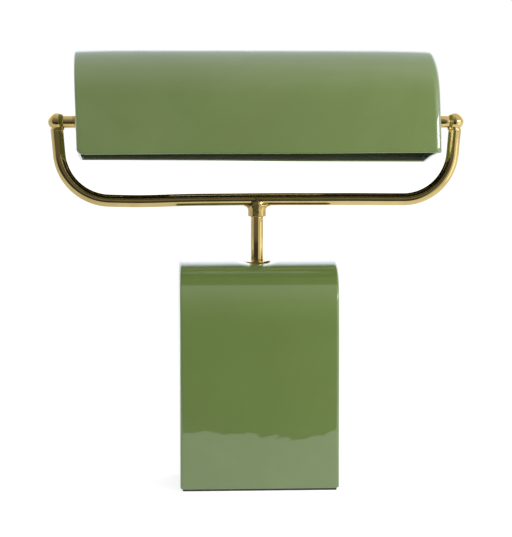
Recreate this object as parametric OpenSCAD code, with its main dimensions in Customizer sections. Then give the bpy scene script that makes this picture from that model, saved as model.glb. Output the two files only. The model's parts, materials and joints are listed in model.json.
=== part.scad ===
// Banker desk lamp: a glazed block base, a brass stem and yoke, and a long tilting shade.
// Millimetres, Z up, the lamp stands on z = 0 and the stem is on the Z axis.
// X runs along the shade, the front of the lamp faces -Y.

/* [Base] */
// Width of the base block, side to side
base_w = 149; // [130:1:170]
// Depth of the base block, front to back
base_d = 100; // [90:1:104]
// Height from the table to the crown of the base
base_h = 213; // [180:1:215]
// Radius of the long front and back edges of the crown
crown_r = 48; // [40:1:48]
// Wall of the glazed base body
base_wall = 5; // [4:0.5:6]
// Thickness of the felt under the base
felt_t = 1.5; // [1:0.5:3]

/* [Yoke] */
// Outside diameter of the brass tubes
tube_d = 12; // [11.6:0.1:12.4]
// Bore of the yoke tube
tube_bore_d = 9.6; // [9.2:0.1:10]
// Height of the middle of the yoke's cross bar
bar_z = 270; // [266:1:272]
// Bend radius of the yoke corners, to the middle of the tube
bend_r = 47; // [40:1:52]
// Outward lean of the yoke legs, in degrees
leg_lean = 5; // [1:0.5:6]
// Distance from the stem to the middle of each ball
ball_x = 189; // [186:1:194]
// Diameter of the balls on the leg tops
ball_d = 15.2; // [14.8:0.2:16.4]

/* [Shade] */
// Length of the shade along the yoke
shade_l = 337; // [334:0.5:337]
// Depth of the shade, front to back
shade_d = 108; // [96:1:112]
// Height of the tilt axis above the table
pivot_z = 343.6; // [340:0.2:346]
// How far the shade reaches above its tilt axis
shade_up = 69.4; // [60:0.2:70]
// How far the shade reaches below its tilt axis
shade_down = 33.2; // [28:0.2:36]
// Radius of the long front and back edges of the shade
shade_r = 50; // [44:1:52]
// Wall of the glazed shade
shade_wall = 3; // [2.5:0.5:3.5]
// Tilt the shade stands at, front edge raised, in degrees
shade_tilt = 4.5; // [0:0.5:8]

/* [Hidden] */
$fn = 48;
over = 1;                 // extra length of every cutting tool past the face it cuts

// base
edge_r = 3.5;             // rounding of the base's side edges
plate_t = 3;
plate_z = 9;              // underside of the base plate
ledge_z = plate_z + plate_t;
rim_wall = 3.2;           // wall left beside the rebate that takes the base plate
plate_gap = 0.4;          // play of the base plate in its rebate
ballast_h = 18;
ballast_gap = 1.5;
ballast_z = ledge_z + ballast_h;
gland_z = 44;
gland_hole_r = 6;
gland_bore_r = 3.75;

// stem
rod_r = 5;
rod_bore_r = 3.5;
rod_hole_r = 5.3;
rod_foot_z = 3.2;
pad_z = base_h - base_wall - 2;   // flat underside of the pad inside the crown
window_z = 64;            // middle of the window where the cable leaves the rod
flange_r = 13;
flange_t = 1.2;
tee_r = 8.5;
tee_drop = 9.9;           // collar of the tee below the cross bar
sleeve_bore_r = 5.15;     // bore of the stem tube over the rod
tube_r = tube_d / 2;
tee_z = bar_z - tube_r - tee_drop;
stem_z = base_h + flange_t;

// yoke
ball_r = ball_d / 2;
bend_end_z = bar_z + bend_r - bend_r * sin(leg_lean);
leg_rise = pivot_z - bend_end_z;
bend_x = ball_x - bend_r * cos(leg_lean) - leg_rise * tan(leg_lean);
leg_len = leg_rise / cos(leg_lean);
socket_in = 4.6;          // leg tube ends this far below the middle of its ball
collar_r = 6.9;
collar_low = 9.5;

// pivots, measured along X from the stem
end_x = shade_l / 2;      // outer face of the shade's end wall
inner_x = end_x - shade_wall;
nipple_r = 4;
nipple_bore_r = 2.8;
nipple_in_x = inner_x - 13.5;
nipple_out_x = ball_x - 5.5;
bushing_bore_r = 4.05;
bushing_r = 6.5;
bushing_flange_r = 10.5;
bushing_flange_t = 1.2;
bushing_in_x = inner_x - 6;
side_gap = 0.2;           // play between the turning and the standing pieces
washer_x = end_x + bushing_flange_t + side_gap;
washer_t = 0.8;
sleeve_in_x = washer_x + washer_t;
sleeve_out_x = ball_x - 6.5;
wave_t = 1;
pivot_nut_t = 4.4;
wave_x = bushing_in_x - side_gap - wave_t;
bracket_t = 1.5;
bushing_nut_t = 4;

// lamp holder and bulb, measured from the tilt axis
bulb_z = 14;
tab_x = -128;             // outer face of the tab that carries the holder
holder_r = 17;
holder_l = 42;
holder_bore_r = 13.6;
neck_r = 5;
cap_r = 13;
bulb_r = 15;
glass_t = 0.9;
glass_x0 = -84;
glass_x1 = 72;
shelf_z = 33;

// cable
cable_r = 2.2;
turn_r = 8;               // bend radius of the cable in the base and in the tee
ball_turn_r = 5;
block_x = 28;             // cable entry of the terminal block
block_h = 14;
ball_turn_x = ball_x - ball_turn_r * cos(leg_lean)
    - ball_turn_r * (1 + sin(leg_lean)) * tan(leg_lean);
ball_turn_z = pivot_z - ball_turn_r;

// ---- shared shapes ----

// Upright rectangle standing on y = 0 with its two upper corners rounded
module arch_outline(w, h, r) {
    translate([-w / 2, 0]) square([w, h - r]);
    translate([-w / 2 + r, 0]) square([w - 2 * r, h]);
    for (s = [-1, 1])
        translate([s * (w / 2 - r), h - r]) circle(r = r);
}

module round_rect(w, d, r) {
    square([w - 2 * r, d], center = true);
    square([w, d - 2 * r], center = true);
    for (sx = [-1, 1], sy = [-1, 1])
        translate([sx * (w / 2 - r), sy * (d / 2 - r)]) circle(r = r);
}

// Block standing on z = 0: large radius on the long top edges, small radius on the side edges
module arched_block(w, d, h, r, e) {
    intersection() {
        rotate([90, 0, 90]) linear_extrude(height = w, center = true) arch_outline(d, h, r);
        linear_extrude(height = h) round_rect(w, d, e);
        rotate([90, 0, 0]) linear_extrude(height = d, center = true) arch_outline(w, h, e);
    }
}

module upright(r, z0, z1) {
    translate([0, 0, z0]) cylinder(r = r, h = z1 - z0);
}

// Cylinder along X between x0 and x1
module along_x(r, x0, x1) {
    translate([x0, 0, 0]) rotate([0, 90, 0]) cylinder(r = r, h = x1 - x0);
}

module tube_x(r, bore_r, x0, x1) {
    difference() {
        along_x(r, x0, x1);
        along_x(bore_r, x0 - over, x1 + over);
    }
}

module hex_x(across, bore_r, x0, x1) {
    difference() {
        translate([x0, 0, 0]) rotate([0, 90, 0])
            cylinder(d = across / cos(30), h = x1 - x0, $fn = 6);
        along_x(bore_r, x0 - over, x1 + over);
    }
}

module ring_z(r, bore_r, z0, z1) {
    difference() {
        upright(r, z0, z1);
        upright(bore_r, z0 - over, z1 + over);
    }
}

module hex_z(across, bore_r, z0, z1) {
    difference() {
        translate([0, 0, z0]) cylinder(d = across / cos(30), h = z1 - z0, $fn = 6);
        upright(bore_r, z0 - over, z1 + over);
    }
}

// Round bend in the XZ plane about the origin, from angle a0 to angle a1 above +X
module elbow(bend, r, a0, a1) {
    rotate([90, 0, 0]) rotate([0, 0, a0])
        rotate_extrude(angle = a1 - a0) translate([bend, 0]) circle(r = r);
}

// Leg of the yoke on the +X side, from the corner bend up to a distance below the ball's middle.
// It can reach a little way down into the bend.
module leg(r, short, reach = 0) {
    translate([ball_x, 0, pivot_z]) rotate([0, leg_lean, 0])
        translate([0, 0, -leg_len - reach]) cylinder(r = r, h = leg_len + reach - short);
}

// Path of the whole yoke tube with a given radius. The bends are a touch fuller than the
// straight runs, which end a little way inside them.
module yoke_path(r, short) {
    fuller = 0.05;
    lap = 0.5;
    along_x_at(bar_z, r, -bend_x - lap, bend_x + lap);
    for (m = [0, 1]) mirror([m, 0, 0]) {
        translate([bend_x, 0, bar_z + bend_r]) elbow(bend_r, r + fuller, -90, -leg_lean);
        leg(r, short, lap);
    }
}

module along_x_at(z, r, x0, x1) {
    translate([0, 0, z]) along_x(r, x0, x1);
}

module at_pivot() {
    translate([0, 0, pivot_z]) children();
}

// Everything on the shade is drawn level about the tilt axis, then set to its tilt
module on_shade() {
    translate([0, 0, pivot_z]) rotate([-shade_tilt, 0, 0]) children();
}

module left() {
    mirror([1, 0, 0]) children();
}

// ---- base ----

module base_shell() {
    body_h = base_h - felt_t;
    color("#5f7a35")
    difference() {
        translate([0, 0, felt_t]) arched_block(base_w, base_d, body_h, crown_r, edge_r);
        difference() {
            translate([0, 0, felt_t])
                arched_block(base_w - 2 * base_wall, base_d - 2 * base_wall, body_h - base_wall,
                    crown_r - base_wall, 2);
            // pad inside the crown, so that the clamp washer sits flat
            upright(15, pad_z, base_h);
        }
        // rebate that takes the base plate
        translate([0, 0, felt_t - over])
            linear_extrude(height = ledge_z - felt_t + over)
                round_rect(base_w - 2 * rim_wall, base_d - 2 * rim_wall, 2);
        upright(rod_hole_r, pad_z - over, base_h + over);
        translate([0, base_d / 2 - base_wall - over, gland_z]) rotate([-90, 0, 0])
            cylinder(r = gland_hole_r, h = base_wall + 2 * over);
    }
}

module base_plate() {
    color("#8d8d88")
    difference() {
        translate([0, 0, plate_z]) linear_extrude(height = plate_t)
            round_rect(base_w - 2 * rim_wall - 2 * plate_gap,
                base_d - 2 * rim_wall - 2 * plate_gap, 2);
        upright(rod_hole_r, plate_z - over, ledge_z + over);
    }
}

module felt_pad() {
    inset = 2.5;
    color("#20241c")
    linear_extrude(height = felt_t) round_rect(base_w - 2 * inset, base_d - 2 * inset, edge_r - inset);
}

module ballast_weight() {
    shrink = 2 * base_wall + 2 * ballast_gap;
    color("#4a4a4c")
    difference() {
        translate([0, 0, ledge_z]) linear_extrude(height = ballast_h)
            round_rect(base_w - shrink, base_d - shrink, 4);
        upright(rod_hole_r, ledge_z - over, ballast_z + over);
    }
}

module threaded_rod() {
    window_h = 20;
    window_w = 6;
    color("#b9a15a")
    difference() {
        upright(rod_r, rod_foot_z, bar_z - tube_r - 0.5);
        upright(rod_bore_r, rod_foot_z - over, bar_z);
        translate([0, -window_w / 2, window_z - window_h / 2]) cube([rod_r + over, window_w, window_h]);
    }
}

module rod_washer() {
    color("#a8a8a4") ring_z(11, rod_r, plate_z - 1.6, plate_z);
}

module rod_nut() {
    color("#b9a15a") hex_z(15, rod_r, rod_foot_z, plate_z - 1.6);
}

module crown_washer() {
    color("#a8a8a4") ring_z(12, rod_r, pad_z - 1.5, pad_z);
}

module crown_nut() {
    top_z = pad_z - 1.5;
    color("#b9a15a") hex_z(15, rod_r, top_z - 5, top_z);
}

module cord_gland() {
    lip_r = 8.5;
    lip_t = 2.5;
    inside = 9;
    color("#1d1d1d")
    translate([0, base_d / 2, gland_z]) rotate([-90, 0, 0])
    difference() {
        union() {
            cylinder(r = lip_r, h = lip_t);
            translate([0, 0, -base_wall - inside]) cylinder(r = gland_hole_r, h = base_wall + inside);
        }
        translate([0, 0, -base_wall - inside - over])
            cylinder(r = gland_bore_r, h = base_wall + inside + lip_t + 2 * over);
    }
}

module gland_nut() {
    nut_t = 5;
    color("#1d1d1d")
    translate([0, base_d / 2 - base_wall, gland_z]) rotate([90, 0, 0])
    difference() {
        cylinder(d = 18 / cos(30), h = nut_t, $fn = 6);
        translate([0, 0, -over]) cylinder(r = gland_hole_r, h = nut_t + 2 * over);
    }
}

// Terminal block on the ballast, with wells for its clamp screws and an entry for the cable
module terminal_block() {
    color("#dcd8c8")
    difference() {
        translate([block_x - 11, -16, ballast_z]) cube([22, 32, block_h]);
        for (y = [-10, 10])
            translate([block_x, y, ballast_z + 6]) cylinder(r = 3, h = block_h);
        translate([block_x, 0, ballast_z + 8]) cylinder(r = cable_r + 0.2, h = block_h);
    }
}

module terminal_screws() {
    color("#b9b9b4")
    for (y = [-10, 10])
        translate([block_x, y, ballast_z + 6])
        difference() {
            cylinder(r = 2.6, h = 5);
            translate([-3, -0.4, 4]) cube([6, 0.8, 2]);
        }
}

// ---- stem and yoke ----

// Thin washer bent over the crown
module stem_flange() {
    color("#c9a24a")
    difference() {
        intersection() {
            upright(flange_r, base_h - 6, base_h + 3);
            rotate([90, 0, 90]) linear_extrude(height = 3 * flange_r, center = true)
                difference() {
                    arch_outline(base_d + 2 * flange_t, base_h + flange_t, crown_r + flange_t);
                    arch_outline(base_d, base_h, crown_r);
                }
        }
        upright(sleeve_bore_r, base_h - over, stem_z + over);
    }
}

module stem_tube() {
    color("#c9a24a") ring_z(tube_r, sleeve_bore_r, stem_z, tee_z);
}

// Collar brazed under the cross bar, with a fillet running out along the bar on each side
module tee_fitting() {
    fillet_r = 6;
    web_w = 10;
    color("#c9a24a")
    difference() {
        union() {
            upright(tee_r, tee_z, bar_z - 1);
            translate([0, 0, bar_z]) rotate([90, 0, 0])
                linear_extrude(height = web_w, center = true)
                difference() {
                    translate([-tee_r - fillet_r, -tube_r - fillet_r])
                        square([2 * (tee_r + fillet_r), tube_r + fillet_r - 1]);
                    for (s = [-1, 1])
                        translate([s * (tee_r + fillet_r), -tube_r - fillet_r]) circle(r = fillet_r);
                }
        }
        along_x_at(bar_z, tube_r, -30, 30);
        upright(rod_r, tee_z - over, bar_z);
    }
}

module yoke_tube() {
    wire_hole_r = 4.5;
    color("#c9a24a")
    difference() {
        yoke_path(tube_r, socket_in);
        yoke_path(tube_bore_d / 2, socket_in - over);
        upright(wire_hole_r, bar_z - tube_r - over, bar_z);
    }
}

// Ball on the +X leg: socket for the leg below, bore and seat for the pivot towards the shade
module ball() {
    channel_r = 3.6;
    color("#c9a24a")
    difference() {
        translate([ball_x, 0, pivot_z]) {
            sphere(r = ball_r);
            rotate([0, leg_lean, 0]) translate([0, 0, -collar_low])
                cylinder(r1 = tube_r + 0.5, r2 = collar_r, h = collar_low - 3);
        }
        leg(tube_r, socket_in);
        translate([ball_x, 0, pivot_z]) rotate([0, leg_lean, 0]) {
            translate([0, 0, -socket_in - over]) cylinder(r = channel_r, h = socket_in + over);
            sphere(r = channel_r);
        }
        at_pivot() along_x(nipple_r, ball_x - ball_r - over, ball_x);
        at_pivot() along_x(tube_r, ball_x - ball_r - over, sleeve_out_x);
    }
}

module ball_right() {
    ball();
}

module ball_left() {
    left() ball();
}

module pivot_nipple() {
    color("#b9a15a") at_pivot() tube_x(nipple_r, nipple_bore_r, nipple_in_x, nipple_out_x);
}

module pivot_nipple_right() {
    pivot_nipple();
}

module pivot_nipple_left() {
    left() pivot_nipple();
}

module pivot_sleeve() {
    color("#c9a24a") at_pivot() tube_x(tube_r, nipple_r, sleeve_in_x, sleeve_out_x);
}

module pivot_sleeve_right() {
    pivot_sleeve();
}

module pivot_sleeve_left() {
    left() pivot_sleeve();
}

module friction_washer() {
    color("#e8e2d0") at_pivot() tube_x(8.5, nipple_r, washer_x, sleeve_in_x);
}

module friction_washer_right() {
    friction_washer();
}

module friction_washer_left() {
    left() friction_washer();
}

module wave_washer() {
    color("#9a9a96") at_pivot() tube_x(7, nipple_r, wave_x, wave_x + wave_t);
}

module wave_washer_right() {
    wave_washer();
}

module wave_washer_left() {
    left() wave_washer();
}

module pivot_nut() {
    color("#b9a15a") at_pivot() hex_x(13, nipple_r, wave_x - pivot_nut_t, wave_x);
}

module pivot_nut_right() {
    pivot_nut();
}

module pivot_nut_left() {
    left() pivot_nut();
}

// Cable from the terminal block, up the rod, along the bar, up the left leg and out of the pivot
module cable_lower() {
    block_top = ballast_z + 8;
    low_z = window_z - 4;
    bent_r = cable_r + 0.06;  // the bends are a touch fuller than the straight runs
    lap = 0.4;                // each straight run ends this far inside its bend
    color("#26221c")
    union() {
        translate([block_x, 0, 0]) upright(cable_r, block_top, low_z - turn_r + lap);
        translate([block_x - turn_r, 0, low_z - turn_r]) elbow(turn_r, bent_r, 0, 90);
        along_x_at(low_z, cable_r, turn_r - lap, block_x - turn_r + lap);
        translate([turn_r, 0, low_z + turn_r]) elbow(turn_r, bent_r, 180, 270);
        upright(cable_r, low_z + turn_r - lap, bar_z - turn_r + lap);
        left() {
            translate([turn_r, 0, bar_z - turn_r]) elbow(turn_r, bent_r, 90, 180);
            along_x_at(bar_z, cable_r, turn_r - lap, bend_x + lap);
            translate([bend_x, 0, bar_z + bend_r]) elbow(bend_r, bent_r, -90, -leg_lean);
            leg(cable_r, ball_turn_r * (1 + sin(leg_lean)) / cos(leg_lean) - lap, lap);
            translate([ball_turn_x, 0, ball_turn_z]) elbow(ball_turn_r, bent_r, -leg_lean, 90);
            at_pivot() along_x(cable_r, nipple_in_x - 2, ball_turn_x + lap);
        }
    }
}

// ---- shade ----

module shade_shell() {
    shade_h = shade_up + shade_down;
    color("#6d8a45")
    on_shade()
    difference() {
        translate([0, 0, -shade_down]) arched_block(shade_l, shade_d, shade_h, shade_r, 4);
        translate([0, 0, -shade_down])
            arched_block(shade_l - 2 * shade_wall, shade_d - 2 * shade_wall, shade_h - shade_wall,
                shade_r - shade_wall, 2);
        // opens the underside
        translate([0, 0, -shade_down - over]) linear_extrude(height = 2 * over)
            round_rect(shade_l - 2 * shade_wall, shade_d - 2 * shade_wall, 2);
        along_x(bushing_r, -end_x - over, end_x + over);
    }
}

// Shouldered bearing bush clamped in the shade's end wall, turning on the pivot nipple
module shade_bushing() {
    color("#c9a24a")
    on_shade()
    difference() {
        union() {
            along_x(bushing_r, bushing_in_x, end_x);
            along_x(bushing_flange_r, end_x, end_x + bushing_flange_t);
        }
        along_x(bushing_bore_r, bushing_in_x - over, end_x + bushing_flange_t + over);
    }
}

module shade_bushing_right() {
    shade_bushing();
}

module shade_bushing_left() {
    left() shade_bushing();
}

module bushing_nut_right() {
    color("#b9a15a") on_shade() hex_x(18, bushing_r, inner_x - bushing_nut_t, inner_x);
}

module bushing_nut_left() {
    nut_x = inner_x - bracket_t;
    color("#b9a15a") on_shade() left() hex_x(18, bushing_r, nut_x - bushing_nut_t, nut_x);
}

// Bent strip clamped under the left bushing nut, carrying the lamp holder on its tab
module holder_bracket() {
    half_w = 12;
    foot_z = -10;
    color("#b8b8b2")
    on_shade()
    difference() {
        union() {
            translate([-inner_x, -half_w, foot_z]) cube([bracket_t, 2 * half_w, shelf_z - foot_z]);
            translate([-inner_x, -half_w, shelf_z])
                cube([inner_x + tab_x + bracket_t, 2 * half_w, bracket_t]);
            translate([tab_x, -half_w, bulb_z - 12])
                cube([bracket_t, 2 * half_w, shelf_z - bulb_z + 12]);
        }
        along_x(bushing_r, -inner_x - over, -inner_x + bracket_t + over);
        along_x_at(bulb_z, neck_r, tab_x - over, tab_x + bracket_t + over);
    }
}

module holder_nut() {
    color("#b9a15a") on_shade() translate([0, 0, bulb_z]) hex_x(14, neck_r, tab_x - 4, tab_x);
}

module lampholder() {
    face_x = tab_x + bracket_t;
    floor_t = 12;
    color("#23211f")
    on_shade() translate([0, 0, bulb_z])
    difference() {
        union() {
            along_x(neck_r, tab_x - 5, face_x);
            along_x(holder_r, face_x, face_x + holder_l);
        }
        along_x(cable_r + 0.2, tab_x - 5 - over, face_x + floor_t + over);
        along_x(holder_bore_r, face_x + floor_t, face_x + holder_l + over);
    }
}

// Spring contact that touches the end of the bulb cap
module holder_contact() {
    seat_x = tab_x + bracket_t + 12;
    color("#b9a15a") on_shade() translate([0, 0, bulb_z]) along_x(4.5, seat_x, seat_x + 1.5);
}

module bulb_cap() {
    tip_x = tab_x + bracket_t + 12 + 1.5;
    color("#c4c4c0")
    on_shade() translate([0, 0, bulb_z])
    union() {
        along_x(4.5, tip_x, tip_x + 2);
        along_x(cap_r, tip_x + 2, glass_x0);
    }
}

module bulb_glass() {
    color("#f2efe4")
    on_shade() translate([0, 0, bulb_z])
    difference() {
        union() {
            along_x(bulb_r, glass_x0, glass_x1 - bulb_r);
            translate([glass_x1 - bulb_r, 0, 0]) sphere(r = bulb_r);
        }
        along_x(bulb_r - glass_t, glass_x0 + glass_t, glass_x1 - bulb_r);
        translate([glass_x1 - bulb_r, 0, 0]) sphere(r = bulb_r - glass_t);
    }
}

// Cable from just inside the left pivot to the lamp holder, free to flex as the shade turns
module cable_upper() {
    start_x = nipple_in_x - 2.6;
    up_r = bulb_z / 2;
    turn_x = start_x - 1;
    color("#26221c")
    on_shade() left()
    union() {
        along_x(cable_r, turn_x, start_x);
        translate([turn_x, 0, up_r]) elbow(up_r, cable_r, 180, 270);
        translate([turn_x - 2 * up_r, 0, up_r]) elbow(up_r, cable_r, 0, 90);
        translate([0, 0, bulb_z])
            along_x(cable_r, -tab_x - bracket_t - 11, turn_x - 2 * up_r);
    }
}

// ---- dispatch ----

base_shell();
base_plate();
felt_pad();
ballast_weight();
threaded_rod();
rod_washer();
rod_nut();
crown_washer();
crown_nut();
cord_gland();
gland_nut();
terminal_block();
terminal_screws();
stem_flange();
stem_tube();
tee_fitting();
yoke_tube();
ball_left();
ball_right();
pivot_nipple_left();
pivot_nipple_right();
pivot_sleeve_left();
pivot_sleeve_right();
friction_washer_left();
friction_washer_right();
wave_washer_left();
wave_washer_right();
pivot_nut_left();
pivot_nut_right();
cable_lower();
shade_shell();
shade_bushing_left();
shade_bushing_right();
bushing_nut_left();
bushing_nut_right();
holder_bracket();
holder_nut();
lampholder();
holder_contact();
bulb_cap();
bulb_glass();
cable_upper();
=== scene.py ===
import json
import math

import bmesh
import bpy
from mathutils import Matrix, Vector, noise


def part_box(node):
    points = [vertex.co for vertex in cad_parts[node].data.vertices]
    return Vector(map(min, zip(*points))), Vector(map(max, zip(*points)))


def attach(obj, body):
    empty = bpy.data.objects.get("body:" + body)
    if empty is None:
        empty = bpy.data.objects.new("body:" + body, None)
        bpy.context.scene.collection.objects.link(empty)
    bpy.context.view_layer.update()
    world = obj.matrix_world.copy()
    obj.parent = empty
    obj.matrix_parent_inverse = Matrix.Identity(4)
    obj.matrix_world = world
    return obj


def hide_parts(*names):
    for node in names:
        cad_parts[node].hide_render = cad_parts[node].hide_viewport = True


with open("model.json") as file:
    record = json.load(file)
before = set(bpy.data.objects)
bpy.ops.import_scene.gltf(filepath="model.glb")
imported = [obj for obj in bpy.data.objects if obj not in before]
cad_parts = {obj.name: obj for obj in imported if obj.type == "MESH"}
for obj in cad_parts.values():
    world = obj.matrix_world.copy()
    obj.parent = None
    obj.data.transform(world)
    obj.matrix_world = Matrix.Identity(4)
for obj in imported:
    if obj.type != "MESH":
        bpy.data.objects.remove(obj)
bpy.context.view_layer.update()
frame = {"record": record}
scene = bpy.context.scene
MM = 0.001
WAVINESS_SEED = 2             # the hand-made waviness is drawn from it
noise.seed_set(WAVINESS_SEED)


# ---------------------------------------------------------------- node helpers

def new_material(name):
    mat = bpy.data.materials.new(name)
    mat.use_nodes = True
    nodes = mat.node_tree.nodes
    bsdf = nodes["Principled BSDF"]
    return mat, nodes, mat.node_tree.links, bsdf


def object_coords(nodes):
    return nodes.new("ShaderNodeTexCoord").outputs["Object"]


def noise_node(nodes, links, coords, scale, detail=3.0, rough=0.5, distortion=0.0):
    tex = nodes.new("ShaderNodeTexNoise")
    tex.inputs["Scale"].default_value = scale
    tex.inputs["Detail"].default_value = detail
    tex.inputs["Roughness"].default_value = rough
    tex.inputs["Distortion"].default_value = distortion
    links.new(coords, tex.inputs["Vector"])
    return tex.outputs["Fac"]


def stretched(nodes, links, coords, scale):
    mapping = nodes.new("ShaderNodeMapping")
    mapping.inputs["Scale"].default_value = scale
    links.new(coords, mapping.inputs["Vector"])
    return mapping.outputs["Vector"]


def ramp(nodes, links, fac, stops):
    node = nodes.new("ShaderNodeValToRGB")
    elements = node.color_ramp.elements
    while len(elements) < len(stops):
        elements.new(0.5)
    for element, (pos, colour) in zip(elements, stops):
        element.position = pos
        element.color = (*colour, 1.0)
    links.new(fac, node.inputs["Fac"])
    return node.outputs["Color"]


def grey_ramp(nodes, links, fac, lo, hi, start=0.3, end=0.7):
    return ramp(nodes, links, fac, [(start, (lo,) * 3), (end, (hi,) * 3)])


def bump(nodes, links, height, strength, distance, normal=None):
    node = nodes.new("ShaderNodeBump")
    node.inputs["Strength"].default_value = strength
    node.inputs["Distance"].default_value = distance
    links.new(height, node.inputs["Height"])
    if normal is not None:
        links.new(normal, node.inputs["Normal"])
    return node.outputs["Normal"]


def pores(nodes, links, coords, scale, size):
    """Small round pits: near 1 away from a cell's middle, dropping to 0 at it."""
    tex = nodes.new("ShaderNodeTexVoronoi")
    tex.inputs["Scale"].default_value = scale
    links.new(coords, tex.inputs["Vector"])
    return grey_ramp(nodes, links, tex.outputs["Distance"], 0.0, 1.0, 0.0, size)


# ---------------------------------------------------------------- materials

def glaze(name, thin, mid, deep):
    """Thick green glaze: it pools darker, thins paler over edges, and has a few pin holes."""
    mat, nodes, links, bsdf = new_material(name)
    co = object_coords(nodes)
    pooled = noise_node(nodes, links, co, 9.0, 4.0, 0.55, 0.4)
    colour = ramp(nodes, links, pooled, [(0.25, deep), (0.5, mid), (0.78, thin)])
    speck = noise_node(nodes, links, co, 420.0, 2.0, 0.6)
    speck_mask = grey_ramp(nodes, links, speck, 0.0, 1.0, 0.68, 0.76)
    mix = nodes.new("ShaderNodeMix")
    mix.data_type = "RGBA"
    mix.blend_type = "MULTIPLY"
    mix.inputs["B"].default_value = (0.78, 0.8, 0.7, 1.0)
    links.new(speck_mask, mix.inputs["Factor"])
    links.new(colour, mix.inputs["A"])
    # glaze runs thin over convex edges
    geo = nodes.new("ShaderNodeNewGeometry")
    edge_mask = grey_ramp(nodes, links, geo.outputs["Pointiness"], 0.0, 1.0, 0.52, 0.6)
    edge_mix = nodes.new("ShaderNodeMix")
    edge_mix.data_type = "RGBA"
    edge_mix.inputs["B"].default_value = (*thin, 1.0)
    links.new(edge_mask, edge_mix.inputs["Factor"])
    links.new(mix.outputs["Result"], edge_mix.inputs["A"])
    links.new(edge_mix.outputs["Result"], bsdf.inputs["Base Color"])
    bsdf.inputs["Roughness"].default_value = 0.3
    bsdf.inputs["Specular IOR Level"].default_value = 0.25
    bsdf.inputs["Coat Weight"].default_value = 1.0
    bsdf.inputs["Coat IOR"].default_value = 1.7
    bsdf.inputs["Coat Roughness"].default_value = 0.03
    # slow ripple, dimples, fine skin and pin holes, each laid over the one before
    relief = [(noise_node(nodes, links, co, 14.0, 2.0, 0.45), 0.13, 0.0012),
              (noise_node(nodes, links, co, 62.0, 1.0, 0.4), 0.11, 0.0012),
              (noise_node(nodes, links, co, 120.0, 2.0, 0.5), 0.05, 0.0003),
              (pores(nodes, links, co, 95.0, 0.06), 0.25, 0.0002)]
    normal = None
    for height, strength, distance in relief:
        normal = bump(nodes, links, height, strength, distance, normal)
    links.new(normal, bsdf.inputs["Normal"])
    links.new(normal, bsdf.inputs["Coat Normal"])
    return mat


ALONG_Z = (900, 900, 60)


def metal(name, bright, dull, rough_lo, rough_hi, brushed=ALONG_Z, scratch=0.02, blotch=26.0, lumps=0.0):
    """Metal with tarnish patches, uneven polish, fine scratches along one direction, and lumps if asked."""
    mat, nodes, links, bsdf = new_material(name)
    co = object_coords(nodes)
    patch = noise_node(nodes, links, co, blotch, 4.0, 0.6, 0.6)
    links.new(ramp(nodes, links, patch, [(0.3, dull), (0.62, bright)]), bsdf.inputs["Base Color"])
    bsdf.inputs["Metallic"].default_value = 1.0
    smear = noise_node(nodes, links, co, blotch * 3, 4.0, 0.6)
    links.new(grey_ramp(nodes, links, smear, rough_lo, rough_hi), bsdf.inputs["Roughness"])
    lines = noise_node(nodes, links, stretched(nodes, links, co, brushed), 1.0, 3.0)
    normal = bump(nodes, links, lines, scratch, 0.0002)
    if lumps:
        normal = bump(nodes, links, noise_node(nodes, links, co, 420.0, 2.0, 0.6), 0.8, lumps, normal)
    links.new(normal, bsdf.inputs["Normal"])
    return mat


def plain(name, colour, second, rough, scale, bump_size, sheen=0.0):
    """Moulded or woven non-metal with two close tones and a fine surface texture."""
    mat, nodes, links, bsdf = new_material(name)
    co = object_coords(nodes)
    tone = noise_node(nodes, links, co, scale * 0.1, 4.0, 0.6)
    links.new(ramp(nodes, links, tone, [(0.35, colour), (0.7, second)]), bsdf.inputs["Base Color"])
    grain = noise_node(nodes, links, co, scale, 3.0, 0.6)
    links.new(grey_ramp(nodes, links, grain, rough * 0.85, min(1.0, rough * 1.15)),
              bsdf.inputs["Roughness"])
    links.new(bump(nodes, links, grain, 0.5, bump_size), bsdf.inputs["Normal"])
    bsdf.inputs["Sheen Weight"].default_value = sheen
    return mat


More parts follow.
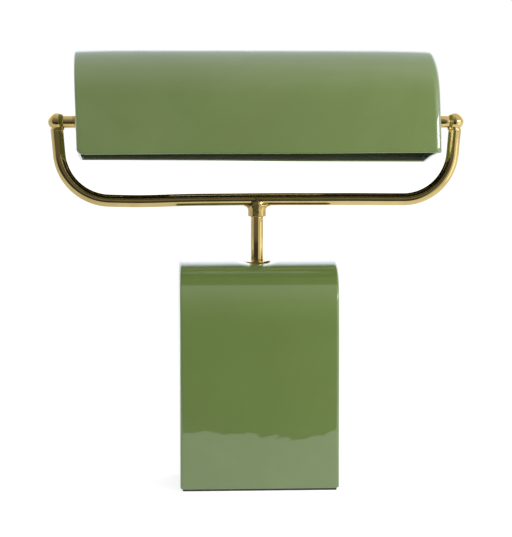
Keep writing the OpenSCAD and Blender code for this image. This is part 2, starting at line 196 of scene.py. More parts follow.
BRASS = (0.60, 0.458, 0.188)
BRASS_DULL = (0.50, 0.365, 0.13)
RAW_BRASS = (0.74, 0.55, 0.26)
RAW_BRASS_DULL = (0.56, 0.38, 0.17)
STEEL = (0.62, 0.62, 0.6)
STEEL_DULL = (0.45, 0.45, 0.44)
MAT = {
    "base_glaze": glaze("base_glaze", (0.115, 0.166, 0.047), (0.098, 0.147, 0.034), (0.090, 0.137, 0.030)),
    "shade_glaze": glaze("shade_glaze", (0.116, 0.160, 0.051), (0.101, 0.144, 0.039), (0.094, 0.136, 0.035)),
    "polished_brass": metal("polished_brass", BRASS, BRASS_DULL, 0.05, 0.12, scratch=0.003),
    "bushing_brass": metal("bushing_brass", BRASS, BRASS_DULL, 0.08, 0.18, (60, 900, 900)),
    "rod_brass": metal("rod_brass", RAW_BRASS, (0.58, 0.40, 0.18), 0.2, 0.35),
    "nut_brass": metal("nut_brass", RAW_BRASS, RAW_BRASS_DULL, 0.2, 0.35, (60, 700, 700)),
    "contact_brass": metal("contact_brass", RAW_BRASS, RAW_BRASS_DULL, 0.2, 0.35),
    "plate_steel": metal("plate_steel", (0.6, 0.6, 0.58), (0.42, 0.42, 0.41), 0.3, 0.5, (40, 600, 600)),
    "washer_steel": metal("washer_steel", STEEL, STEEL_DULL, 0.25, 0.42),
    "screw_steel": metal("screw_steel", STEEL, STEEL_DULL, 0.25, 0.4),
    "spring_steel": metal("spring_steel", (0.45, 0.45, 0.44), (0.3, 0.3, 0.3), 0.25, 0.4),
    "bracket_steel": metal("bracket_steel", STEEL, STEEL_DULL, 0.28, 0.45, (40, 700, 700)),
    "cap_metal": metal("cap_metal", (0.78, 0.78, 0.76), (0.6, 0.6, 0.58), 0.2, 0.35, (900, 60, 60)),
    "ballast_iron": metal("ballast_iron", (0.12, 0.115, 0.11), (0.07, 0.06, 0.055), 0.6, 0.8,
                          scratch=0.4, blotch=60.0),
    "felt": plain("felt", (0.020, 0.026, 0.018), (0.034, 0.042, 0.030), 0.95, 900.0, 0.0006, 0.4),
    "gland_plastic": plain("gland_plastic", (0.015, 0.015, 0.016), (0.024, 0.024, 0.024),
                           0.45, 500.0, 0.0001),
    "terminal_plastic": plain("terminal_plastic", (0.68, 0.64, 0.52), (0.74, 0.71, 0.6),
                              0.5, 400.0, 0.0001),
    "washer_nylon": plain("washer_nylon", (0.78, 0.74, 0.64), (0.82, 0.79, 0.7), 0.5, 400.0, 0.0001),
    "cable_cover": plain("cable_cover", (0.02, 0.017, 0.014), (0.035, 0.03, 0.024), 0.6, 600.0, 0.0002),
    "holder_plastic": plain("holder_plastic", (0.022, 0.019, 0.017), (0.03, 0.027, 0.024),
                            0.3, 300.0, 0.0001),
    "bulb_opal": plain("bulb_opal", (0.60, 0.59, 0.55), (0.66, 0.65, 0.61), 0.25, 90.0, 0.0001),
}

BRAZED_BRASS = metal("brazed_brass", BRASS, (0.40, 0.27, 0.09), 0.08, 0.2, lumps=0.0004)
# painted shade: a much darker copy of the green glaze, put on the lamp shade's inner faces for the shade its
# unlit inside falls in
SHADE_INSIDE_PAINTED_SHADE = glaze("shade_inside_painted_shade", (0.040, 0.048, 0.021), (0.032, 0.040, 0.016), (0.026, 0.032, 0.013))

# every CAD object gets the material its slot names
for part in frame["record"]["subparts"]:
    obj = bpy.data.objects.get(part["node"])
    if obj is not None and obj.type == "MESH":
        obj.data.materials.clear()
        obj.data.materials.append(MAT[part["material_slot"]])


# ---------------------------------------------------------------- mesh helpers

def mesh_object(name, bm):
    bmesh.ops.recalc_face_normals(bm, faces=bm.faces)
    for f in bm.faces:
        f.smooth = True
    mesh = bpy.data.meshes.new(name)
    bm.to_mesh(mesh)
    bm.free()
    obj = bpy.data.objects.new(name, mesh)
    scene.collection.objects.link(obj)
    return obj


HOLE_SEGMENTS = 48
SHARP_ANGLE = math.radians(40)


def drill(obj, holes):
    """Cuts round holes, each given as a frame whose height axis is the drill, a radius and a depth."""
    for matrix, radius, depth in holes:
        bm = bmesh.new()
        turned(bm, [(radius, 0.0), (radius, depth)], matrix, HOLE_SEGMENTS, hollow=False)
        cutter = mesh_object("cutter", bm)
        modifier = obj.modifiers.new("drill", "BOOLEAN")
        modifier.operation = "DIFFERENCE"
        modifier.solver = "EXACT"
        modifier.object = cutter
        depsgraph = bpy.context.evaluated_depsgraph_get()
        cut = bpy.data.meshes.new_from_object(obj.evaluated_get(depsgraph))
        obj.modifiers.clear()
        obj.data = cut
        bpy.data.objects.remove(cutter)
    obj.data.set_sharp_from_angle(angle=SHARP_ANGLE)


def finish_piece(name, bm, body, nodes_replaced, slot, inside_mat=None, holes=(), mat=None):
    obj = mesh_object(name, bm)
    obj.data.materials.append(mat or MAT[slot])
    if inside_mat is not None:
        obj.data.materials.append(inside_mat)
    if holes:
        drill(obj, holes)
    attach(obj, body)
    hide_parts(*nodes_replaced)
    return obj


def bridge(bm, a, b):
    n = len(a)
    for i in range(n):
        bm.faces.new((a[i], a[(i + 1) % n], b[(i + 1) % n], b[i]))


def cap(bm, ring):
    """Closes a ring with a fan round its middle."""
    middle = bm.verts.new(sum((v.co for v in ring), Vector()) / len(ring))
    for i in range(len(ring)):
        bm.faces.new((ring[i], ring[(i + 1) % len(ring)], middle))


def turned(bm, profile, frame_matrix, segments=48, hollow=True):
    """Turned solid: profile is a list of (radius, height) going once round the section.
    A hollow section closes on itself, a solid one starts and ends near the axis."""
    rings = []
    for r, h in profile:
        ring = []
        for k in range(segments):
            a = 2 * math.pi * k / segments
            ring.append(bm.verts.new(frame_matrix @ Vector((r * math.cos(a), r * math.sin(a), h))))
        rings.append(ring)
    for a, b in zip(rings, rings[1:]):
        bridge(bm, a, b)
    if hollow:
        bridge(bm, rings[-1], rings[0])
    else:
        cap(bm, rings[0])
        cap(bm, rings[-1])


def rounded_section(r0, r1, h0, h1, e, steps=4):
    """Section of a ring between two radii and two heights with its outer edges rounded."""
    pts = [(r0, h0)]
    for k in range(steps + 1):
        a = math.radians(90 * k / steps)
        pts.append((r1 - e + e * math.sin(a), h0 + e - e * math.cos(a)))
    for k in range(steps + 1):
        a = math.radians(90 * k / steps)
        pts.append((r1 - e + e * math.cos(a), h1 - e + e * math.sin(a)))
    pts.append((r0, h1))
    return pts


def sweep(bm, path, radius, segments=32):
    """Round bar along a path in the XZ plane."""
    rings = []
    for i, p in enumerate(path):
        q0, q1 = path[max(i - 1, 0)], path[min(i + 1, len(path) - 1)]
        t = (q1 - q0).normalized()
        side = Vector((0, 1, 0))
        up = t.cross(side)
        rings.append([bm.verts.new(p + radius * (math.cos(a) * side + math.sin(a) * up))
                      for a in (2 * math.pi * k / segments for k in range(segments))])
    for a, b in zip(rings, rings[1:]):
        bridge(bm, a, b)
    cap(bm, rings[0])
    cap(bm, rings[-1])


# ---------------------------------------------------------------- glazed bodies

def arch_curve(half_d, height, r, z0, wall_rows, arc_rows):
    """Points (y, z) up the front wall, over the crown and down the back wall."""
    r = max(min(r, half_d - 0.1 * MM), 0.1 * MM)
    half = [(-half_d, z0 + (height - r - z0) * k / wall_rows) for k in range(wall_rows)]
    for k in range(arc_rows + 1):
        a = math.radians(90 * k / arc_rows)
        half.append((-(half_d - r) - r * math.cos(a), height - r + r * math.sin(a)))
    return half + [(-y, z) for y, z in reversed(half)]


EDGE_STEPS = 6
END_WALL_STEPS = 8
LIP_STEPS = 7
END_SEAM = 1.2 * MM           # half width of the strip that closes an end wall down its middle


def shell_end(half_l, half_d, e):
    """Stations (x, inset) round one end edge of radius e and on across the end wall."""
    end = []
    for k in range(1, EDGE_STEPS + 1):
        a = math.radians(90 * k / EDGE_STEPS)
        end.append((half_l - e + e * math.sin(a), e * (1 - math.cos(a))))
    inner = half_d - END_SEAM
    for k in range(1, END_WALL_STEPS + 1):
        end.append((half_l, e + (inner - e) * k / END_WALL_STEPS))
    return end


def shell_skin(bm, half_l, half_d, height, r, edges, z0, counts):
    """One skin of an arched tub, open below, with its end edges rounded all the way round.
    Returns its lower border, in order round the tub."""
    body, wall_rows, arc_rows = counts
    x0, x1 = -(half_l - edges[0]), half_l - edges[1]
    stations = [(-x, s) for x, s in reversed(shell_end(half_l, half_d, edges[0]))]
    stations += [(x0 + (x1 - x0) * k / body, 0.0) for k in range(body + 1)]
    stations += shell_end(half_l, half_d, edges[1])
    rows = []
    for x, s in stations:
        curve = arch_curve(half_d - s, height - s, r - s, z0, wall_rows, arc_rows)
        rows.append([bm.verts.new((x, y, z)) for y, z in curve])
    for a, b in zip(rows, rows[1:]):
        for i in range(len(a) - 1):
            bm.faces.new((a[i], a[i + 1], b[i + 1], b[i]))
    n = len(rows[0])
    for row in (rows[0], rows[-1]):
        for i in range(n // 2 - 1):
            bm.faces.new((row[i], row[i + 1], row[n - 2 - i], row[n - 1 - i]))
    return [row[0] for row in rows] + [row[-1] for row in reversed(rows)]


def build_shell(bm, size, wall, edges, counts, shape, second_mat_inside=False):
    """Arched tub with a wall and a rounded lip, standing on z 0, bent by shape once it is closed.
    With the flag after shape set, its inner faces take the second material, which on the lamp shade is
    painted shade for its unlit inside."""
    half_l, half_d, height, r = size
    lip = wall / 2
    outer = shell_skin(bm, half_l, half_d, height, r, edges, lip, counts)
    outer_faces = set(bm.faces)
    inside = shell_skin(bm, half_l - wall, half_d - wall, height - wall, r - wall,
                        [max(e - wall, MM) for e in edges], lip, counts)
    for f in bm.faces:
        f.material_index = int(second_mat_inside and f not in outer_faces)
    rings = [outer]
    for k in range(1, LIP_STEPS):
        a = math.radians(180 * k / LIP_STEPS)
        ring = []
        for p, q in zip(outer, inside):
            c = p.co.lerp(q.co, 0.5 - 0.5 * math.cos(a))
            c.z = lip - lip * math.sin(a)
            ring.append(bm.verts.new(c))
        rings.append(ring)
    rings.append(inside)
    for a, b in zip(rings, rings[1:]):
        bridge(bm, a, b)
    for v in bm.verts:
        v.co = shape(v.co.copy())


def wander(p, scale, seed):
    """Slow three-way offset between -1 and 1, the way a hand-built wall strays from true."""
    q = Vector((p.x * scale + seed * 3.1, p.y * scale + seed * 7.7, p.z * scale - seed * 5.3))
    return Vector([max(-1.0, min(1.0, c)) for c in noise.noise_vector(q)])


def smooth(a, b, t):
    """0 at a, 1 at b and beyond, with an easy start and end."""
    t = max(0.0, min(1.0, (t - a) / (b - a)))
    return t * t * (3 - 2 * t)


# base body
lo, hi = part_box("base_shell")
BASE_WALL = 5.0 * MM
CROWN_R = 48.0 * MM
BASE_EDGES = (2.4 * MM, 2.8 * MM)
ROD_HOLE_R = 5.3 * MM
GLAND_HOLE_R = 6.0 * MM
PAD_R = 15.0 * MM
PAD_T = 2.0 * MM
SEAT_DEPTH = 1.5 * MM
BASE_MARGIN_X = 0.3 * MM      # room left for the waviness inside the frame's box
BASE_MARGIN_Y = 0.35 * MM
BASE_COUNTS = (56, 40, 26)    # faces along the body, up a wall and round half the crown
gland_lo, gland_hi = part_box("cord_gland")
gland_z = (gland_lo.z + gland_hi.z) / 2
base_h = hi.z - lo.z
base_half_l, base_half_d = (hi.x - lo.x) / 2, (hi.y - lo.y) / 2


def seat_dip(x, y):
    """Depth of the shallow seat pressed into the crown round the stem, mostly on its front side."""
    return SEAT_DEPTH * smooth(0.024, 0.012, math.hypot(x, y)) * smooth(0.016, -0.004, y)


def base_shape(p):
    """Hand-made waviness, a seat for the stem, and a crown that leans out to the right."""
    # the crown stays true round the stem
    still = smooth(0.016, 0.03, Vector((p.x, p.y)).length) if p.z > base_h * 0.8 else 1.0
    crown = smooth(base_h * 0.8, base_h, p.z)
    p.z -= seat_dip(p.x, p.y) * smooth(0.9, 0.96, p.z / base_h)
    p.x += 0.9 * MM * smooth(0.0, base_half_l, p.x) * crown
    w = wander(p, 15.0, 1.0) * 0.35 * MM + wander(p, 38.0, 2.0) * 0.06 * MM
    w.z *= still * smooth(0.0, 0.03, p.z)
    w.x *= 0.8
    return p + w


bm = bmesh.new()
base_size = (base_half_l - BASE_MARGIN_X, base_half_d - BASE_MARGIN_Y, base_h, CROWN_R)
build_shell(bm, base_size, BASE_WALL, BASE_EDGES, BASE_COUNTS, base_shape)
bmesh.ops.translate(bm, verts=bm.verts, vec=(0, 0, lo.z))
base = finish_piece("base_body", bm, "stand", ["base_shell"], "base_glaze", holes=[
    (Matrix.Translation((0, 0, hi.z - 12 * MM)), ROD_HOLE_R, 20 * MM),
    (Matrix.Translation((0, base_half_d - 15 * MM, gland_z)) @ Matrix.Rotation(-math.pi / 2, 4, "X"),
     GLAND_HOLE_R, 25 * MM)])
# flat pad under the crown for the washer and nut
bm = bmesh.new()
bm.from_mesh(base.data)
pad_low, pad_high = hi.z - BASE_WALL - PAD_T, hi.z - BASE_WALL - 0.1 * MM
turned(bm, [(ROD_HOLE_R, pad_low), (PAD_R, pad_low), (PAD_R, pad_high), (ROD_HOLE_R, pad_high)],
       Matrix.Identity(4))
bm.to_mesh(base.data)
bm.free()

# shade body, built level about the tilt axis and then set to the tilt it stands at
SHADE_TILT = math.radians(4.5)
SHADE_WALL = 3.0 * MM
SHADE_R = 50.0 * MM
SHADE_HALF_D = 54.0 * MM
SHADE_UP = 69.4 * MM
SHADE_DOWN = 33.2 * MM
SHADE_EDGES = (2.4 * MM, 5.5 * MM)
SHADE_MARGIN_Y = 0.5 * MM     # room left for the waviness inside the frame's box
SHADE_MARGIN_Z = 0.1 * MM
SHADE_COUNTS = (90, 14, 28)
BUSHING_HOLE_R = 6.5 * MM
pivot = Vector(frame["record"]["behaviour"]["joints"][0]["pos_m"])
lo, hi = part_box("shade_shell")
shade_half_l = (hi.x - lo.x) / 2
LEAN = 0.026                  # how far the end walls lean, as a slope


def shade_shape(p):
    """Hand-made waviness, a drooping crown, an uneven lower rim and leaning end walls."""
    w = wander(p, 10.0, 4.0) * 0.4 * MM + wander(p, 34.0, 5.0) * 0.06 * MM
    up = p.z / (SHADE_UP + SHADE_DOWN)
    w.z *= 1 - 0.85 * smooth(0.8, 1.0, up)
    # the crown droops a little towards both ends
    p.z -= 1.2 * MM * (abs(p.x) / shade_half_l) ** 6 * smooth(0.5, 1.0, up)
    # the front left foot of the wall is rounded off, the back rim hangs lower to the right
    left_end = smooth(-shade_half_l + 6 * MM, -shade_half_l, p.x)
    front = smooth(0.0, -SHADE_HALF_D, p.y)
    low = smooth(0.02, 0.0, p.z)
    p.z += 3.0 * MM * left_end ** 2 * front * low
    p.z -= (1.0 * MM * p.x / shade_half_l + 1.0 * MM) * smooth(0.0, SHADE_HALF_D, p.y) * low
    p.z += (0.6 * MM * p.x / shade_half_l - 0.3 * MM) * front * low
    # both end walls lean to the left as they rise, the left one a little more
    left_extra = 1.2 * MM * smooth(0.0, -shade_half_l, p.x) * max(0.0, up - 0.25)
    p.x -= 0.5 * MM + LEAN * (p.z - SHADE_DOWN * 0.6) + left_extra
    return p + w


bm = bmesh.new()
shade_size = (shade_half_l, SHADE_HALF_D - SHADE_MARGIN_Y, SHADE_UP + SHADE_DOWN - SHADE_MARGIN_Z, SHADE_R)
build_shell(bm, shade_size, SHADE_WALL, SHADE_EDGES, SHADE_COUNTS, shade_shape, second_mat_inside=True)
tilt = Matrix.Rotation(-SHADE_TILT, 4, "X")
bmesh.ops.transform(bm, matrix=Matrix.Translation(pivot) @ tilt @ Matrix.Translation((0, 0, -SHADE_DOWN)),
                    verts=bm.verts)
# the shade's inner faces take the painted shade material
finish_piece("shade_body", bm, "shade", ["shade_shell"], "shade_glaze", SHADE_INSIDE_PAINTED_SHADE, [
    (Matrix.Translation((side * (shade_half_l - 15 * MM), 0, pivot.z))
     @ Matrix.Rotation(side * math.pi / 2, 4, "Y"), BUSHING_HOLE_R, 30 * MM) for side in (-1, 1)])

# ---------------------------------------------------------------- brass

TUBE_R = 6.0 * MM
YOKE_SKIN = 0.02 * MM         # drawn this much under size, to stay inside the frame's box
TUBE_SKIN = 0.03 * MM         # the same for the stem and the sleeves
BALL_X = 189.0 * MM
BALL_R = 8.3 * MM
LEG_LEAN = math.radians(5)
BEND_R = 47.0 * MM
BAR_Z = 270.0 * MM

LEG_STEPS, BEND_STEPS, BAR_STEPS = 9, 60, 48
YOKE_SEGMENTS = 64
# lift, middle and width of each sag or lift
BAR_WAVES = ((-1.2 * MM, -0.112, 0.035), (0.35 * MM, 0.02, 0.05), (0.25 * MM, 0.088, 0.03))
BAR_BOW = 0.25 * MM           # how far the bar strays to the front and back

# yoke tube, bent by hand, so its bar isn't quite straight
leg_start = 4.6 * MM          # the leg's top, inside the ball
bend_z = BAR_Z + BEND_R
leg_foot_z = bend_z - BEND_R * math.sin(LEG_LEAN)
bend_x = BALL_X - BEND_R * math.cos(LEG_LEAN) - (pivot.z - leg_foot_z) * math.tan(LEG_LEAN)


def yoke_half(side):
    """Middle line of one leg, its bend and half the bar, from the ball inwards."""
    pts = []
    leg_l = (pivot.z - leg_foot_z) / math.cos(LEG_LEAN)
    for k in range(LEG_STEPS):
        s = leg_start + (leg_l - leg_start) * k / LEG_STEPS
        pts.append(Vector((side * (BALL_X - s * math.sin(LEG_LEAN)), 0, pivot.z - s * math.cos(LEG_LEAN))))
    for k in range(BEND_STEPS + 1):
        a = -LEG_LEAN - (math.pi / 2 - LEG_LEAN) * k / BEND_STEPS
        pts.append(Vector((side * (bend_x + BEND_R * math.cos(a)), 0, bend_z + BEND_R * math.sin(a))))
    for k in range(1, BAR_STEPS):
        pts.append(Vector((side * bend_x * (1 - k / BAR_STEPS), 0, BAR_Z)))
    return pts


def hand_bent(p):
    """Sags and lifts of the bar, faded out up the bends."""
    low = smooth(0.30, 0.275, p.z)
    for lift, middle, width in BAR_WAVES:
        p.z += lift * math.exp(-((p.x - middle) / width) ** 2) * low
    p.y += BAR_BOW * math.sin(p.x * 19.0) * low
    return p


yoke_path = [hand_bent(p) for p in yoke_half(-1) + [Vector((0, 0, BAR_Z))] + yoke_half(1)[::-1]]
bm = bmesh.new()
sweep(bm, yoke_path, TUBE_R - YOKE_SKIN, YOKE_SEGMENTS)
finish_piece("yoke_bar", bm, "stand", ["yoke_tube"], "polished_brass")


BALL_START, BALL_SPAN, BALL_STEPS = -82, 124, 20     # the ball's arc, in degrees from its equator
BALL_IN = 0.75 * MM           # the visible ball sits this much nearer the shade than the leg's own line
BALL_UP = 0.3 * MM            # and this much above the tilt axis
COLLAR = ((6.2 * MM, 6.4 * MM), (6.25 * MM, 7.4 * MM), (6.25 * MM, 8.2 * MM), (6.1 * MM, 8.5 * MM),
          (5.0 * MM, 8.5 * MM))


def ball_piece(name, side, node):
    """Ball with a short flared collar over the top of its leg."""
    profile = []
    for k in range(BALL_STEPS + 1):
        a = math.radians(BALL_START + BALL_SPAN * k / BALL_STEPS)
        profile.append((BALL_R * math.cos(a), BALL_R * math.sin(a)))
    profile += COLLAR
    # heights run down the leg
    matrix = (Matrix.Translation((side * (BALL_X - BALL_IN), 0, pivot.z + BALL_UP))
              @ Matrix.Rotation(math.pi + side * LEG_LEAN, 4, "Y"))
    bm = bmesh.new()
    turned(bm, profile, matrix, hollow=False)
    finish_piece(name, bm, "stand", [node], "polished_brass")


ball_piece("knob_left", -1, "ball_left")
ball_piece("knob_right", 1, "ball_right")


def along_x(x0, x1):
    """Frame whose height axis runs along X from x0 towards x1, on the tilt axis."""
    turn = Matrix.Rotation(math.pi / 2 if x1 > x0 else -math.pi / 2, 4, "Y")
    return Matrix.Translation((x0, 0, pivot.z)) @ turn


def span_outwards(node, side):
    """The X of a node's inner and outer end, seen from the middle of the lamp."""
    lo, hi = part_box(node)
    return (lo.x, hi.x) if side > 0 else (hi.x, lo.x)


FLANGE_T = 1.2 * MM
FLANGE_R = 10.4 * MM
FLANGE_EDGE = 0.55 * MM
FLANGE_LIP_R = 7.0 * MM
FLANGE_STEPS = 8
BUSHING_BORE_R = 4.05 * MM
BUSHING_R = 6.4 * MM
SLEEVE_BORE_R = 4.0 * MM
SLEEVE_EDGE = 0.5 * MM
SLEEVE_SEGMENTS = 40

for side, word in ((-1, "left"), (1, "right")):
    x_in, x_out = span_outwards("pivot_sleeve_" + word, side)
    bm = bmesh.new()
    turned(bm, rounded_section(SLEEVE_BORE_R, TUBE_R - TUBE_SKIN, 0.0, abs(x_out - x_in), SLEEVE_EDGE),
           along_x(x_in, x_out), SLEEVE_SEGMENTS)
    finish_piece("sleeve_" + word, bm, "stand", ["pivot_sleeve_" + word], "polished_brass")
    x_in, x_out = span_outwards("shade_bushing_" + word, side)
    length = abs(x_out - x_in)
    profile = [(BUSHING_BORE_R, 0.0), (BUSHING_R, 0.0), (BUSHING_R, length - FLANGE_T)]
    for k in range(FLANGE_STEPS + 1):
        a = math.radians(-90 + 180 * k / FLANGE_STEPS)
        profile.append((FLANGE_R - FLANGE_EDGE + FLANGE_EDGE * math.cos(a),
                        length - FLANGE_T / 2 + FLANGE_EDGE * math.sin(a)))
    profile += [(FLANGE_LIP_R, length), (BUSHING_BORE_R, length)]
    bm = bmesh.new()
    turned(bm, profile, along_x(x_in, x_out))
    finish_piece("bearing_" + word, bm, "shade", ["shade_bushing_" + word], "bushing_brass")

# stem tube
STEM_BORE_R = 5.15 * MM
STEM_EDGE = 0.25 * MM
lo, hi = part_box("stem_tube")
bm = bmesh.new()
turned(bm, rounded_section(STEM_BORE_R, TUBE_R - TUBE_SKIN, lo.z - seat_dip(0, 0), hi.z, STEM_EDGE, 3),
       Matrix.Identity(4))
finish_piece("stem", bm, "stand", ["stem_tube"], "polished_brass")

# tee collar: round below, filleted out along the bar's underside, domed where it laps the bar's front
lo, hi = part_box("tee_fitting")
TEE_R = 8.5 * MM
FILLET = 4.6 * MM
TEE_TOP = BAR_Z + 1.4 * MM
TEE_DOME_Z = BAR_Z - 0.8 * TUBE_R     # the dome starts here
TEE_FRONT = TUBE_R + 0.05 * MM
TEE_EDGE = 0.8 * MM
TEE_FOOT_INSET = 1.4 * MM
TEE_FOOT_STEPS = 4
TEE_STEPS = 26


def tee_ring(bm, z, inset, segments=64):
    """Outline of the collar at height z, drawn in by inset."""
    web_z = BAR_Z - TUBE_R - FILLET
    rise = max(0.0, min(FILLET, z - web_z))
    flare = FILLET - math.sqrt(max(0.0, FILLET ** 2 - rise ** 2))
    flare *= 1 - smooth(BAR_Z - TUBE_R, BAR_Z - 0.5 * TUBE_R, z)
    climb = max(0.0, min(1.0, (z - TEE_DOME_Z) / (TEE_TOP - TEE_DOME_Z)))
    dome = math.sqrt(1 - climb ** 2)
    half_x = (TEE_R - inset) * (0.45 + 0.55 * dome)
    half_y = TEE_FRONT + (TEE_R - inset - TEE_FRONT) * dome
    ring = []
    for k in range(segments):
        a = 2 * math.pi * k / segments
        c, s = math.cos(a), math.sin(a)
        ring.append(bm.verts.new((half_x * c + flare * math.copysign(abs(c) ** 2.4, c), half_y * s, z)))
    return ring


bm = bmesh.new()
rings = [tee_ring(bm, lo.z, TEE_FOOT_INSET)]
for k in range(TEE_FOOT_STEPS + 1):
    a = math.radians(90 * k / TEE_FOOT_STEPS)
    rings.append(tee_ring(bm, lo.z + TEE_EDGE * (1 - math.cos(a)), TEE_EDGE * (1 - math.sin(a))))
for k in range(1, TEE_STEPS + 1):
    rings.append(tee_ring(bm, lo.z + TEE_EDGE + (TEE_TOP - lo.z - TEE_EDGE) * k / TEE_STEPS, 0.0))
for a, b in zip(rings, rings[1:]):
    bridge(bm, a, b)
cap(bm, rings[0])
cap(bm, rings[-1])
finish_piece("tee_collar", bm, "stand", ["tee_fitting"], "polished_brass", mat=BRAZED_BRASS)

# washer under the stem, bent over the crown, and not quite level
lo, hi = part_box("stem_flange")
crest = hi.z
WASHER_T = 1.1 * MM
WASHER_R = 12.9 * MM
WASHER_BORE_R = 5.2 * MM
WASHER_FLAT_R = 9.0 * MM
WASHER_DROP = 1.2 * MM        # its underside, below the top of the frame's disc
WASHER_TIP = 0.55 * MM        # its right edge stands up and its left edge sits down by about this much
WASHER_TIP_REACH = 13.0 * MM
WASHER_SEGMENTS, WASHER_EDGE_STEPS = 56, 6
bm = bmesh.new()


def crown_drop(y):
    """How far the crown's arc has fallen below its crest at this depth."""
    y = max(0.0, abs(y) - (base_half_d - CROWN_R))
    return CROWN_R - math.sqrt(CROWN_R ** 2 - y ** 2)


def washer_ring(bm, r, lift):
    ring = []
    for k in range(WASHER_SEGMENTS):
        a = 2 * math.pi * k / WASHER_SEGMENTS
        x, y = r * math.cos(a), r * math.sin(a)
        z = crest - WASHER_DROP + lift + WASHER_TIP * x / WASHER_TIP_REACH
        z -= crown_drop(y)
        z -= seat_dip(0.6 * x, 0.6 * y)
        ring.append(bm.verts.new((x, y, z)))
    return ring


edge = WASHER_T * 0.45
rings = [washer_ring(bm, WASHER_BORE_R, 0.0), washer_ring(bm, WASHER_FLAT_R, 0.0)]
for k in range(WASHER_EDGE_STEPS + 1):
    a = math.radians(-90 + 180 * k / WASHER_EDGE_STEPS)
    rings.append(washer_ring(bm, WASHER_R - edge + edge * math.cos(a),
                             WASHER_T / 2 + WASHER_T / 2 * math.sin(a)))
rings += [washer_ring(bm, WASHER_FLAT_R, WASHER_T), washer_ring(bm, WASHER_BORE_R, WASHER_T)]
for a, b in zip(rings, rings[1:]):
    bridge(bm, a, b)
bridge(bm, rings[-1], rings[0])
finish_piece("crown_disc", bm, "stand", ["stem_flange"], "polished_brass")


# ---------------------------------------------------------------- stage, light, camera

WHITE = (0.98, 0.99, 1.0)


def emission(name, colour, strength):
    """Even glow with no reflection of its own."""
    mat, nodes, links, bsdf = new_material(name)
    bsdf.inputs["Base Color"].default_value = (0, 0, 0, 1)
    bsdf.inputs["Roughness"].default_value = 1.0
    bsdf.inputs["Specular IOR Level"].default_value = 0.0
    bsdf.inputs["Emission Color"].default_value = (*colour, 1.0)
    bsdf.inputs["Emission Strength"].default_value = strength
    return mat, nodes, links, bsdf


def stage_object(name, bm, mat):
    mesh = bpy.data.meshes.new(name)
    bm.to_mesh(mesh)
    bm.free()
    obj = bpy.data.objects.new(name, mesh)
    scene.collection.objects.link(obj)
    mesh.materials.append(mat)
    return obj


def plane(name, x0, x1, y0, y1, z, mat):
    bm = bmesh.new()
    bm.faces.new([bm.verts.new(c) for c in ((x0, y0, z), (x1, y0, z), (x1, y1, z), (x0, y1, z))])
    return stage_object(name, bm, mat)


def only_in_reflections(obj):
    obj.visible_camera = False
    obj.visible_diffuse = False
    obj.visible_shadow = False
    obj.visible_transmission = False


floor_mat, nodes, links, bsdf = emission("floor", (1.0, 1.0, 1.0), 0.6)
bsdf.inputs["Base Color"].default_value = (0.55, 0.55, 0.55, 1)
bsdf.inputs["Roughness"].default_value = 0.9
floor = plane("floor", -30, 30, -30, 30, 0.0, floor_mat)
floor.visible_glossy = False

# the table as reflections see it: a pale top, brighter to the right, that ends in front of the lamp
table_mat, nodes, links, bsdf = emission("table_glow", (1, 1, 1), 1.0)
sep = nodes.new("ShaderNodeSeparateXYZ")
links.new(object_coords(nodes), sep.inputs["Vector"])
span = nodes.new("ShaderNodeMapRange")
span.inputs["From Min"].default_value = -0.25
span.inputs["From Max"].default_value = 0.25
links.new(sep.outputs["X"], span.inputs["Value"])
links.new(ramp(nodes, links, span.outputs["Result"], [(0.0, (0.44, 0.45, 0.46)), (1.0, (0.60, 0.63, 0.66))]),
          bsdf.inputs["Emission Color"])
bsdf.inputs["Emission Strength"].default_value = 2.0
TABLE_FRONT = -0.402
only_in_reflections(plane("table_glow", -6, 6, TABLE_FRONT, 6, -0.002, table_mat))

# the studio as reflections see it: a dome, dark behind the camera, bright above and behind the lamp
dome_mat, nodes, links, bsdf = emission("studio_dome", (1, 1, 1), 1.0)
co = object_coords(nodes)
norm = nodes.new("ShaderNodeVectorMath")
norm.operation = "NORMALIZE"
links.new(co, norm.inputs[0])
sep = nodes.new("ShaderNodeSeparateXYZ")
links.new(norm.outputs["Vector"], sep.inputs["Vector"])


def math_node(op, a, b=None, clamp=False):
    node = nodes.new("ShaderNodeMath")
    node.operation = op
    node.use_clamp = clamp
    for socket, value in zip(node.inputs, (a, b)):
        if value is None:
            continue
        if isinstance(value, (int, float)):
            socket.default_value = value
        else:
            links.new(value, socket)
    return node.outputs[0]


elevation = math_node("MULTIPLY", math_node("ARCSINE", sep.outputs["Z"]), 1 / math.pi)
elevation = math_node("ADD", elevation, 0.5)          # 0 straight down, 0.5 level, 1 straight up


def level_ramp(stops, tint=WHITE):
    """Brightness against elevation in degrees."""
    return ramp(nodes, links, elevation,
                [(0.5 + deg / 180.0, tuple(v * c for c in tint)) for deg, v in stops])


front_light = level_ramp([(-60, 0.02), (-7, 0.03), (-5.6, 0.065), (0, 0.08), (14, 0.095), (30, 0.15),
                          (50, 0.26), (75, 0.36), (90, 0.42)])
back_light = level_ramp([(-60, 0.4), (0, 0.42), (12, 0.7), (28, 1.0), (44, 1.0), (49, 0.46), (90, 0.42)],
                        (0.95, 0.98, 1.12))
left_light = level_ramp([(-60, 0.26), (-5, 0.30), (20, 0.32), (50, 0.36), (90, 0.42)])
side_light = level_ramp([(-60, 0.3), (-5, 0.42), (20, 0.42), (50, 0.42), (90, 0.42)])
azimuth = math_node("ARCTAN2", sep.outputs["X"], math_node("MULTIPLY", sep.outputs["Y"], -1.0))


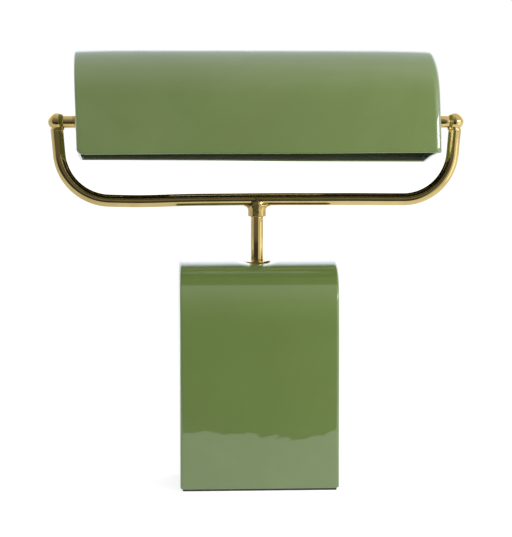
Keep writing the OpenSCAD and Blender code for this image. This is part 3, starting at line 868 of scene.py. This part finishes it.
def around(lo_deg, hi_deg, soft_deg):
    """1 between two azimuths, 0 is straight in front and + is to the right."""
    soft = math.radians(soft_deg)
    up = math_node("DIVIDE", math_node("SUBTRACT", azimuth, math.radians(lo_deg) - soft / 2), soft, True)
    down = math_node("DIVIDE", math_node("SUBTRACT", math.radians(hi_deg) + soft / 2, azimuth), soft, True)
    return math_node("MULTIPLY", up, down)


def mix_colour(factor, a, b):
    node = nodes.new("ShaderNodeMix")
    node.data_type = "RGBA"
    links.new(factor, node.inputs["Factor"])
    links.new(a, node.inputs["A"])
    links.new(b, node.inputs["B"])
    return node.outputs["Result"]


back_mask = math_node("SUBTRACT", 1.0, around(-115, 115, 30))
sky = mix_colour(around(-66, 20, 6), side_light, front_light)
sky = mix_colour(around(-120, -66, 6), sky, left_light)
sky = mix_colour(back_mask, sky, back_light)
links.new(sky, bsdf.inputs["Emission Color"])
bsdf.inputs["Emission Strength"].default_value = 2.4
bm = bmesh.new()
bmesh.ops.create_icosphere(bm, subdivisions=4, radius=4.0)
dome = stage_object("studio_dome", bm, dome_mat)
dome.location = (0, 0, 0.25)
only_in_reflections(dome)


def upright_card(name, x0, y0, x1, y1, z0, z1, strength):
    """Small bright card seen only in reflections, standing between two points of the plan."""
    mat = emission(name, WHITE, strength)[0]
    bm = bmesh.new()
    bm.faces.new([bm.verts.new(c) for c in ((x0, y0, z0), (x1, y1, z0), (x1, y1, z1), (x0, y0, z1))])
    only_in_reflections(stage_object(name, bm, mat))


# one card is caught by the right end of the shade and the right ball, the other by the stem and tee
upright_card("corner_card", 0.36, -0.33, 0.50, -0.13, 0.347, 0.395, 13.0)
upright_card("stem_card", 0.40, -0.22, 0.52, -0.08, 0.120, 0.304, 2.1)

# a dark flag in front of the shade's foot, seen from below by the crown of the base and the cross bar
flag_mat = emission("dark_flag", (1.0, 0.95, 0.6), 0.035)[0]
only_in_reflections(plane("dark_flag", -0.17, 0.17, -0.100, -0.056, 0.311, flag_mat))

world = bpy.data.worlds.new("studio")
world.use_nodes = True
background = world.node_tree.nodes["Background"]
background.inputs["Color"].default_value = (*WHITE, 1)
background.inputs["Strength"].default_value = 1.03
scene.world = world


def area(name, loc, target, size_x, size_y, power):
    """Soft box that lights the lamp but isn't seen in it."""
    light = bpy.data.lights.new(name, "AREA")
    light.shape = "RECTANGLE"
    light.size, light.size_y = size_x, size_y
    light.energy = power
    obj = bpy.data.objects.new(name, light)
    obj.location = loc
    obj.rotation_euler = (Vector(target) - Vector(loc)).to_track_quat("-Z", "Y").to_euler()
    scene.collection.objects.link(obj)
    obj.visible_camera = False
    obj.visible_glossy = False


area("top_box", (0.0, 0.1, 1.6), (0, 0, 0.3), 1.6, 1.2, 1.5)
area("right_fill", (0.55, -0.50, 0.45), (0.1, 0, 0.3), 0.3, 0.5, 4.0)

AIM = Vector((-0.0009, 0.0, 0.2045))
CAM_AZ, CAM_EL, CAM_DIST = math.radians(-3.3), math.radians(4.3), 1.9
camera_data = bpy.data.cameras.new("camera")
camera_data.sensor_width = 36.0
camera_data.lens = 134.08
camera = bpy.data.objects.new("camera", camera_data)
camera.location = AIM + CAM_DIST * Vector((math.sin(CAM_AZ) * math.cos(CAM_EL),
                                            -math.cos(CAM_AZ) * math.cos(CAM_EL), math.sin(CAM_EL)))
camera.rotation_euler = (AIM - camera.location).to_track_quat("-Z", "Y").to_euler()
scene.collection.objects.link(camera)
scene.camera = camera
scene.view_settings.view_transform = "Standard"
scene.view_settings.look = "None"
